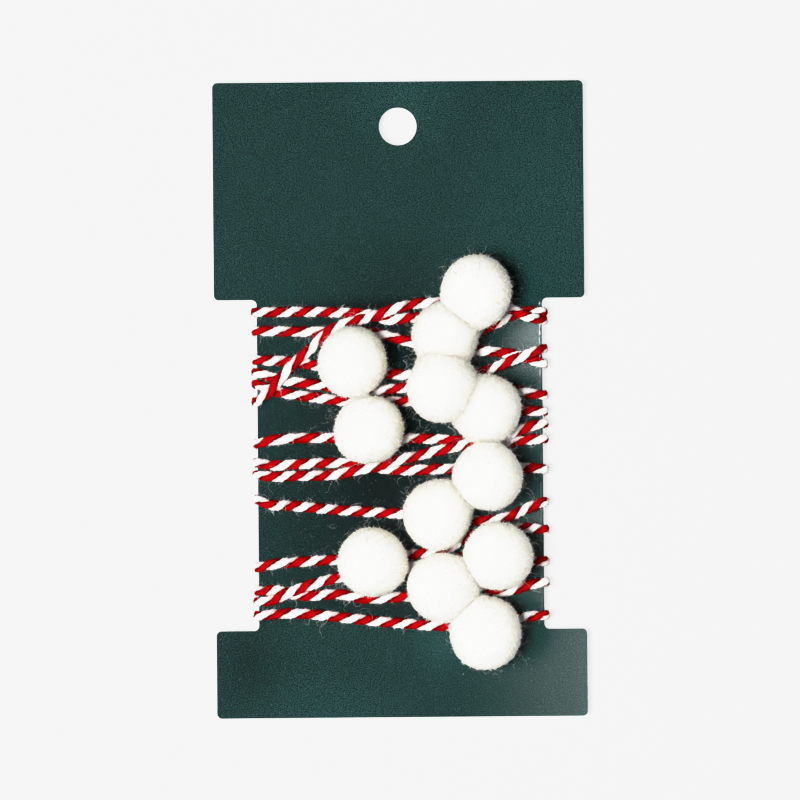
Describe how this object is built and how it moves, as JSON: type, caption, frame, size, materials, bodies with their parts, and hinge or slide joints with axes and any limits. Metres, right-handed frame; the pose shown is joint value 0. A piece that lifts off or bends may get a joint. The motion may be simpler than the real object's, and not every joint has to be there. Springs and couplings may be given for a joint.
{
  "type": "pompom twine on a winding card",
  "caption": "Red and white twine strung with small felted pompoms, wound round the waist of a flat H-shaped card with a round hang hole.",
  "frame": {"origin": "on the surface the trim rests on, under the middle of the card", "axes": "+X across the card, +Y up the card towards the hang hole, +Z away from the surface, out of the face with the pompoms"},
  "size_m": [0.089, 0.1526, 0.0217],
  "materials": {
    "card_green": "dark green printed board with a soft sheen and a pale cut edge",
    "twine_red": "matt cotton twine of one red and one white strand twisted together",
    "pompom_white": "off-white felted wool with short dense fuzz"
  },
  "bodies": {
    "root": {"card": "card_green", "twine": "twine_red", "pompom_01": "pompom_white", "pompom_02": "pompom_white", "pompom_03": "pompom_white", "pompom_04": "pompom_white", "pompom_05": "pompom_white", "pompom_06": "pompom_white", "pompom_07": "pompom_white", "pompom_08": "pompom_white", "pompom_09": "pompom_white", "pompom_10": "pompom_white", "pompom_11": "pompom_white", "pompom_12": "pompom_white"}
  },
  "joints": []
}
